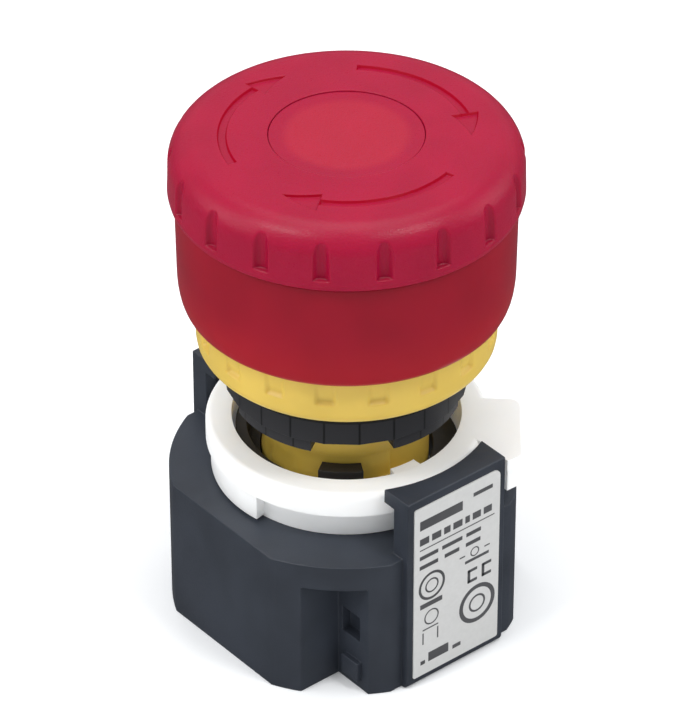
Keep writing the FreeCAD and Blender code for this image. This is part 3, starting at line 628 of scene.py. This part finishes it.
def arrow_distance(x, y):
    """Signed distance in metres into the three clockwise arrows, positive inside.

    Each arrow is an arc band of half width 0.375 mm round radius 10.03 mm, with a triangle on
    its clockwise end; the three are 120 degrees apart, so one is worked out after folding.
    Takes arrays or material numbers.
    """
    before = math.radians(10.0)
    turned = ARROW_PHASE + before - bearing(y, x)
    along = turned % (2 * math.pi / 3) - before
    across = abs((x * x + y * y) ** 0.5 - ARROW_RADIUS)
    band = least(ARROW_HALF_WIDTH - across, least(along, ARROW_SWEEP - along) * ARROW_RADIUS)
    width = (1.0 - (along - ARROW_SWEEP) / ARROW_HEAD) * ARROW_HEAD_HALF_WIDTH
    length = ARROW_HEAD * ARROW_RADIUS
    lean = length / math.hypot(ARROW_HEAD_HALF_WIDTH, length)
    point = least((width - across) * lean, (along - ARROW_SWEEP) * ARROW_RADIUS)
    return most(band, point)


def build_cap(materials):
    """The notched cap with its engraved arrows.

    r and z follow the rounded outline; a notch is a scoop that limits r to
    radius - depth * (1 - |across / half width|^3) above its foot, and an arrow lowers z by
    depth * step(distance into the arrow).
    """
    cap = bpy.context.scene.stop_cap
    top = CAP_HIGH.z
    low = CAP_LOW.z
    foot = low + 0.85 * MM
    outline = refine(round_corners(cap_outline(cap), 14), 0.8 * MM)
    outline = refine(outline, 0.066 * MM, (8.8 * MM, 11.25 * MM, top - 0.4 * MM, top))
    outline = refine(outline, 0.05 * MM, (14 * MM, 15 * MM, foot - 0.2 * MM, foot + 0.2 * MM))
    outline = refine(outline, 0.16 * MM, (13.4 * MM, 14.5 * MM, low + 3.2 * MM, low + 4.6 * MM))
    half = cap.notch_width / 2
    depth = cap.notch_depth + 0.12 * MM

    def shape(r, z, angles):
        across = notch_offset(angles) * cap.radius / half
        floor = cap.radius - depth * (1 - np.abs(across) ** 3)
        above = smooth_step((z - foot) / (0.08 * MM))
        outer = r > cap.radius - 1.3 * MM
        r = np.where(outer, r + (np.minimum(r, floor) - r) * above, r)
        inside = arrow_distance(r * np.cos(angles), r * np.sin(angles))
        on_top = z > top - 0.35 * MM
        return r, z - np.where(on_top, cap.arrow_depth * smooth_step(inside / (0.07 * MM)), 0)

    angles = np.linspace(0, 2 * math.pi, 900, endpoint=False)
    build_lathe("mushroom_cap", outline, angles, "head", "red_cap", ["button_cap"],
                materials["red_cap"], shape)


def build_lathe(name, outline, angles, body, slot, nodes, material, shape=None):
    """A closed (radius, height) outline turned about Z.

    shape(r, z, a) may return changed r and z arrays, so that grooves and notches run round it.
    """
    r = np.repeat(outline[:, :1], len(angles), axis=1)
    z = np.repeat(outline[:, 1:2], len(angles), axis=1)
    if shape:
        r, z = shape(r, z, angles)
    points = lathe_points(outline, angles, r, z)
    faces = grid_faces(len(outline), len(angles), True, flip=True)
    piece = mesh_piece(name, points, faces, body, slot, *nodes)
    paint(piece, material)
    return piece


def sector_shell(inner, outer, low, high, start, end, steps=16):
    """Points and faces of a closed block between two radii, heights and angles (degrees)."""
    turn = np.radians(np.linspace(start, end, steps))
    section = np.array([(inner, low), (outer, low), (outer, high), (inner, high)]) * MM
    points = np.stack([np.outer(np.cos(turn), section[:, 0]),
                       np.outer(np.sin(turn), section[:, 0]),
                       np.tile(section[:, 1], (steps, 1))], axis=-1)
    faces = []
    for i in range(steps - 1):
        for j in range(4):
            here = i * 4 + j
            beside = i * 4 + (j + 1) % 4
            faces.append((here, here + 4, beside + 4, beside))
    end_start = (steps - 1) * 4
    faces.append((0, 1, 2, 3))
    faces.append((end_start + 3, end_start + 2, end_start + 1, end_start))
    return points.reshape(-1, 3), faces


def notch_offset(angles):
    """Angle from the middle of the nearest grip notch."""
    pitch = 2 * math.pi / NOTCHES
    return (angles - NOTCH_PHASE + pitch / 2) % pitch - pitch / 2


def notch_side(angles, radius, width, edge):
    """1 inside the grip notches and 0 between them, eased over an edge width."""
    return smooth_step((width / 2 - np.abs(notch_offset(angles)) * radius) / edge + 0.5)


def disc_piece(name, rows, angles, body, slot, nodes, material):
    """A solid of revolution that reaches the axis: rows are (radius, height) from the bottom
    centre to the top centre, and each pole is one point."""
    rows = np.array(rows, float)
    count = len(angles)
    points = lathe_points(rows[1:-1], angles).reshape(-1, 3)
    poles = np.array([(0, 0, rows[0, 1]), (0, 0, rows[-1, 1])])
    points = np.concatenate([points, poles])
    inner = len(rows) - 2
    faces = grid_faces(inner, count, False)
    bottom = inner * count
    top = bottom + 1
    around = np.arange(count)
    following = (around + 1) % count
    start = (inner - 1) * count
    faces += np.stack([following, around, np.full(count, bottom)], axis=-1).tolist()
    faces += np.stack([start + around, start + following, np.full(count, top)], axis=-1).tolist()
    piece = mesh_piece(name, points, faces, body, slot, *nodes)
    paint(piece, material)
    return piece


def build_lens(materials):
    """The round disc in the cap: a rounded rim round a face that dips, just below the cap's."""
    top = CAP_HIGH.z - 0.1 * MM
    radius = 6.33 * MM
    rim = 0.08 * MM
    arc = np.linspace(0, math.pi / 2, 6)
    edge = np.stack([radius - rim + rim * np.cos(arc), top - rim + rim * np.sin(arc)], axis=-1)
    spread = np.linspace(radius - 2 * rim, 0, 24)
    dip = 0.08 * MM * (1 - (spread / radius) ** 4)
    face = np.stack([spread, top - dip], axis=-1)
    rows = np.concatenate([[(0, top - 0.9 * MM), (radius, top - 0.9 * MM)], edge, face])
    disc_piece("cap_window", rows, np.linspace(0, 2 * math.pi, 180, endpoint=False), "head",
               "red_lens", ["cap_lens"], materials["red_lens"])


def build_skirt(materials):
    """The head's smooth lower shell, with the web and collar that the cap sits on."""
    outer = SKIRT_HIGH.x
    low = SKIRT_LOW.z
    bore = 12.75 * MM
    step = CAP_LOW.z - 0.25 * MM
    seat = 12.94 * MM
    web = 38.0 * MM
    arc = np.linspace(0, 1, 9)
    bulge = [(13.15 * MM + 0.75 * MM * math.sin(t * math.pi / 2),
              low + 0.05 * MM + 2.9 * MM * (1 - math.cos(t * math.pi / 2)), 0) for t in arc]
    corners = [(bore, low, 0.15 * MM), *bulge, (outer, step, 0.18 * MM), (seat, step, 0),
               (seat, SKIRT_HIGH.z, 0.2 * MM), (seat - 1 * MM, SKIRT_HIGH.z, 0.2 * MM),
               (seat - 1 * MM, web + 1.5 * MM, 0.3 * MM), (4.2 * MM, web + 1.5 * MM, 0),
               (4.2 * MM, web, 0), (bore, web, 0.4 * MM)]
    angles = np.linspace(0, 2 * math.pi, 256, endpoint=False)
    build_lathe("head_skirt", round_corners(corners), angles, "head", "red_skirt",
                ["button_skirt"], materials["red_skirt"])


def build_bushing(materials):
    """Bezel, threaded barrel and neck.

    The bezel's wall is pulled in inside each grip notch by foot(z) * (0.06 + 0.54 e^(-z/0.7)) mm,
    where z in mm starts at the notch's foot.  The neck swells by 0.24 mm below a ramp
    z = low + rise * turn, which is the bayonet's guide.
    """
    bezel = BUSH_HIGH.x / MM
    top = BUSH_HIGH.z / MM
    low = BUSH_LOW.z / MM
    panel = top - 7.2
    ridges = []
    for step in range(9):
        ridges.append((8.0 if step % 2 == 0 else 7.4, 21.0 + 0.5 * step, 0.04))
    corners = [
        (6.35, low, 0), (6.9, low, 0), (6.9, 18.85, 0.04), (7.0, 18.85, 0.04), (7.0, 19.2, 0.04),
        (7.1, 19.2, 0.04), (7.1, 20.5, 0), (7.4, 20.5, 0), *ridges, (7.4, 25.5, 0),
        (7.4, panel, 0), (bezel, panel, 1.3), (bezel, top, 0.15), (11.2, top, 0.15),
        (11.2, panel + 1.5, 0.2), (7.3, panel + 1.5, 0.1), (7.3, 28.25, 0.1), (5.9, 28.25, 0.1),
        (5.9, 27.9, 0), (6.5, 23.9, 0), (6.5, 22.0, 0), (5.9, 22.0, 0), (5.9, 18.2, 0),
        (6.6, 18.2, 0), (6.6, 17.0, 0), (5.9, 17.0, 0), (5.9, 16.1, 0), (6.35, 16.1, 0)]
    outline = refine(round_corners(corners) * MM, 0.6 * MM)
    outline = refine(outline, 0.07 * MM, (12 * MM, 13 * MM, (panel + 2) * MM, (panel + 2.6) * MM))

    def shape(r, z, angles):
        side = notch_side(angles, bezel * MM, 1.5 * MM, 0.4 * MM)
        outer = r > (bezel - 0.4) * MM
        up = z - (panel + 2.1) * MM
        foot = np.clip(up / (0.36 * MM), 0, 1)
        depth = foot * (0.06 + 0.54 * np.exp(-np.maximum(up, 0) / (0.7 * MM)))
        r = r - np.where(outer, depth * MM * side, 0)
        facing = wrapped(angles - math.radians(-129.7))
        guide = (16.3 + 1.3 * (facing + 1.3)) * MM
        swell = smooth_step((guide - z) / (0.15 * MM)) * smooth_step((0.55 - facing) / 0.03)
        neck = (r > 6.8 * MM) & (r < 7.05 * MM)
        return r + np.where(neck, 0.24 * MM * swell, 0), z

    angles = np.linspace(0, 2 * math.pi, 720, endpoint=False)
    build_lathe("bezel_and_barrel", outline, angles, "base", "yellow_plastic", ["bushing"],
                materials["yellow_plastic"], shape)
    lugs = [sector_shell(6.6, 9.15, 15.3, 16.6, turn, turn + 24) for turn in (-108, 72)]
    points, faces = join_shells(lugs)
    piece = mesh_piece("bayonet_lugs", points, faces, "base", "yellow_plastic", "bushing")
    piece.data.set_sharp_from_angle(angle=math.radians(40))
    paint(piece, materials["yellow_plastic"])


def dashes(x, z, words, height, gap=0.42):
    """A row of bars as (centre x, centre z, width, height), like a line of small print."""
    row = []
    for word in words:
        row.append((x + word / 2, z, word, height))
        x += word + gap
    return row


def label_bars():
    """Generic print on the label: bars in millimetres from the label's middle."""
    bars = [(-1.75, 6.95, 4.6, 0.95), (2.75, 7.45, 2.1, 0.4)]
    bars += dashes(-4.05, 5.25, (1.0, 1.0, 0.7, 1.0, 0.5, 0.9, 0.9), 0.7, 0.3)
    bars += [(0.0, 4.42, 8.1, 0.12)]
    bars += dashes(-4.05, 3.6, (2.0, 2.2, 1.6), 0.4)
    bars += dashes(-4.05, 2.6, (2.0, 1.6, 1.6), 0.4, 0.7)
    bars += [(0.6, 1.5, 0.6, 0.14), (3.3, 1.5, 0.6, 0.14), (2.2, 0.75, 2.6, 0.3)]
    bars += dashes(-3.95, -1.55, (2.4,), 0.5)
    bars += [(1.35, -0.9, 0.3, 1.3), (2.9, -0.9, 0.3, 1.3), (1.75, -0.35, 1.0, 0.3),
             (3.3, -0.35, 1.0, 0.3), (1.75, -1.45, 1.0, 0.3), (3.3, -1.45, 1.0, 0.3)]
    bars += [(-3.6, -5.0, 0.14, 1.2), (-2.0, -5.0, 0.14, 1.2), (-2.8, -4.1, 1.7, 0.14)]
    bars += [(-1.9, -7.2, 2.2, 0.95), (-3.6, -7.5, 0.5, 0.4), (0.1, -7.5, 0.9, 0.4)]
    return bars


def label_rings():
    """Plain rings on the label as (centre x, centre z, radius, line width)."""
    return [(-2.7, 0.3, 1.3, 0.26), (-2.7, 0.3, 0.65, 0.16), (1.95, 1.5, 0.42, 0.12),
            (-2.7, -3.0, 0.72, 0.14), (2.3, -4.1, 1.75, 0.42), (2.3, -4.1, 0.8, 0.2)]


def build_label():
    """Printed marks on the name label: thin raised ink."""
    ink = moulded("label_ink", (0.075, 0.075, 0.08), 0.5, drift=0.1).material
    middle_x = (LABEL_LOW.x + LABEL_HIGH.x) / 2
    middle_z = (LABEL_LOW.z + LABEL_HIGH.z) / 2
    face = LABEL_LOW.y
    shells = []
    for x, z, width, height in label_bars():
        low = (middle_x + (x - width / 2) * MM, face - 0.004 * MM,
               middle_z + (z - height / 2) * MM)
        high = (middle_x + (x + width / 2) * MM, face + 0.01 * MM,
                middle_z + (z + height / 2) * MM)
        shells.append(box_points(low, high))
    for x, z, radius, line in label_rings():
        ring, ring_faces = sector_shell(radius - line / 2, radius + line / 2, 0, 0.014, 0, 360, 40)
        flat = np.stack([ring[:, 0], -ring[:, 2], ring[:, 1]], axis=-1)
        flat += (middle_x + x * MM, face + 0.01 * MM, middle_z + z * MM)
        shells.append((flat, ring_faces))
    points, faces = join_shells(shells)
    piece = mesh_piece("label_print", points, faces, "base", "label")
    piece.data.shade_flat()
    paint(piece, ink)


# ---------------------------------------------------------------- stage


def area_light(name, place, aim, size, power):
    """A soft square light that looks at a point."""
    data = bpy.data.lights.new(name, "AREA")
    data.size = size
    data.energy = power
    light = bpy.data.objects.new(name, data)
    bpy.context.collection.objects.link(light)
    light.location = place
    direction = np.subtract(aim, place)
    light.rotation_euler = look_along(direction)
    return light


def look_along(direction):
    """Euler angles that point -Z along a direction with Y up."""
    x, y, z = direction
    flat = math.hypot(x, y)
    return (math.atan2(flat, -z), 0.0, math.atan2(-x, y))


def build_stage():
    """Pale floor, soft light from above and both sides, and the camera."""
    stage = bpy.context.scene.stop_stage
    scene = bpy.context.scene
    scene.view_settings.view_transform = "Standard"
    world = bpy.data.worlds.new("studio")
    sky = Graph(world, "Background", "Generated")
    overhead = sky.axis("Z").step(-0.05, 0.35)
    sky.set(Color=sky.mix(overhead, (0.22, 0.225, 0.23), (0.97, 0.985, 1.0)),
            Strength=stage.sky)
    scene.world = world
    points = np.array([(-3, -3, 0), (3, -3, 0), (3, 3, 0), (-3, 3, 0)], float)
    mesh = bpy.data.meshes.new("floor")
    mesh.from_pydata(points.tolist(), [], [(0, 1, 2, 3)])
    floor = bpy.data.objects.new("floor", mesh)
    bpy.context.collection.objects.link(floor)
    graph = Graph(bpy.data.materials.new("floor"))
    graph.set(Base_Color=(0.93, 0.94, 0.95, 1.0), Roughness=0.9, Specular_IOR_Level=0.0,
              Emission_Color=(0.97, 0.985, 1.0, 1.0), Emission_Strength=0.06)
    paint(floor, graph.material)
    floor.visible_glossy = False
    aim = (0.0, 0.0, 0.025)
    for name, turn, rise, size, share in LIGHTS:
        along = math.radians(turn)
        up = math.radians(rise)
        flat = LIGHT_DISTANCE * math.cos(up)
        place = (flat * math.cos(along), flat * math.sin(along),
                 aim[2] + LIGHT_DISTANCE * math.sin(up))
        area_light(name, place, aim, size, stage.key * share)
    azimuth = stage.azimuth
    reach = stage.distance * math.cos(stage.elevation)
    place = (reach * math.sin(azimuth), -reach * math.cos(azimuth),
             stage.aim_height + stage.distance * math.sin(stage.elevation))
    data = bpy.data.cameras.new("camera")
    data.lens = stage.lens
    data.shift_x = 0.0047
    data.clip_start = 0.01
    camera = bpy.data.objects.new("camera", data)
    bpy.context.collection.objects.link(camera)
    camera.location = place
    camera.rotation_euler = look_along(np.subtract((0, 0, stage.aim_height), place))
    scene.camera = camera


# ---------------------------------------------------------------- operators


MATERIALS = {}
BEVELLED = {
    "contact_housing": 1.3,
    "mounting_collar": 2.2,
    "lock_nut": 0.8,
    "bayonet_ring": 2.0,
}


class STOP_OT_stage(bpy.types.Operator):
    """Floor, light and camera"""

    bl_idname = "stop.stage"
    bl_label = "Stage"

    def execute(self, context):
        build_stage()
        return {"FINISHED"}


class STOP_OT_finishes(bpy.types.Operator):
    """Materials for every CAD node"""

    bl_idname = "stop.finishes"
    bl_label = "Finishes"

    def execute(self, context):
        MATERIALS.update(make_materials())
        for name, node in frame["nodes"].items():
            paint(node, MATERIALS[SLOTS[name]])
        return {"FINISHED"}


class STOP_OT_head(bpy.types.Operator):
    """Cap, lens and skirt of the head, and the bushing under them"""

    bl_idname = "stop.head"
    bl_label = "Head"

    def execute(self, context):
        build_cap(MATERIALS)
        build_lens(MATERIALS)
        build_skirt(MATERIALS)
        build_bushing(MATERIALS)
        return {"FINISHED"}


class STOP_OT_mouldings(bpy.types.Operator):
    """Mouldings with rounded edges"""

    bl_idname = "stop.mouldings"
    bl_label = "Mouldings"

    def execute(self, context):
        bevel = context.scene.stop_shell.bevel
        for node, share in BEVELLED.items():
            piece = refined_copy(node + "_moulding", node, bevel * share)
            paint(piece, MATERIALS["nut_plastic" if node == "lock_nut" else SLOTS[node]])
        return {"FINISHED"}


class STOP_OT_label(bpy.types.Operator):
    """Print on the name label"""

    bl_idname = "stop.label"
    bl_label = "Label print"

    def execute(self, context):
        build_label()
        return {"FINISHED"}


class STOP_PT_panel(bpy.types.Panel):
    """Lists the build steps"""

    bl_label = "Stop Button"
    bl_space_type = "VIEW_3D"
    bl_region_type = "UI"
    bl_category = "Stop Button"

    def draw(self, context):
        for operator in OPERATORS:
            self.layout.operator(operator.bl_idname)
        for group in GROUPS:
            settings = getattr(context.scene, group)
            for name in settings.bl_rna.properties.keys():
                if name not in ("rna_type", "name"):
                    self.layout.prop(settings, name)


GROUPS = {"stop_cap": CapSettings, "stop_shell": ShellSettings, "stop_stage": StageSettings}
OPERATORS = [STOP_OT_stage, STOP_OT_finishes, STOP_OT_head, STOP_OT_mouldings, STOP_OT_label]


def register():
    """Add the classes and settings to Blender."""
    for group in (*GROUPS.values(), *OPERATORS, STOP_PT_panel):
        bpy.utils.register_class(group)
    for name, group in GROUPS.items():
        setattr(bpy.types.Scene, name, bpy.props.PointerProperty(type=group))


def unregister():
    """Take them away again."""
    for name in GROUPS:
        delattr(bpy.types.Scene, name)
    for group in (STOP_PT_panel, *reversed(OPERATORS), *GROUPS.values()):
        bpy.utils.unregister_class(group)


def main():
    """Build everything."""
    register()
    for operator in OPERATORS:
        category, name = operator.bl_idname.split(".")
        getattr(getattr(bpy.ops, category), name)()


if __name__ == "__main__":
    main()
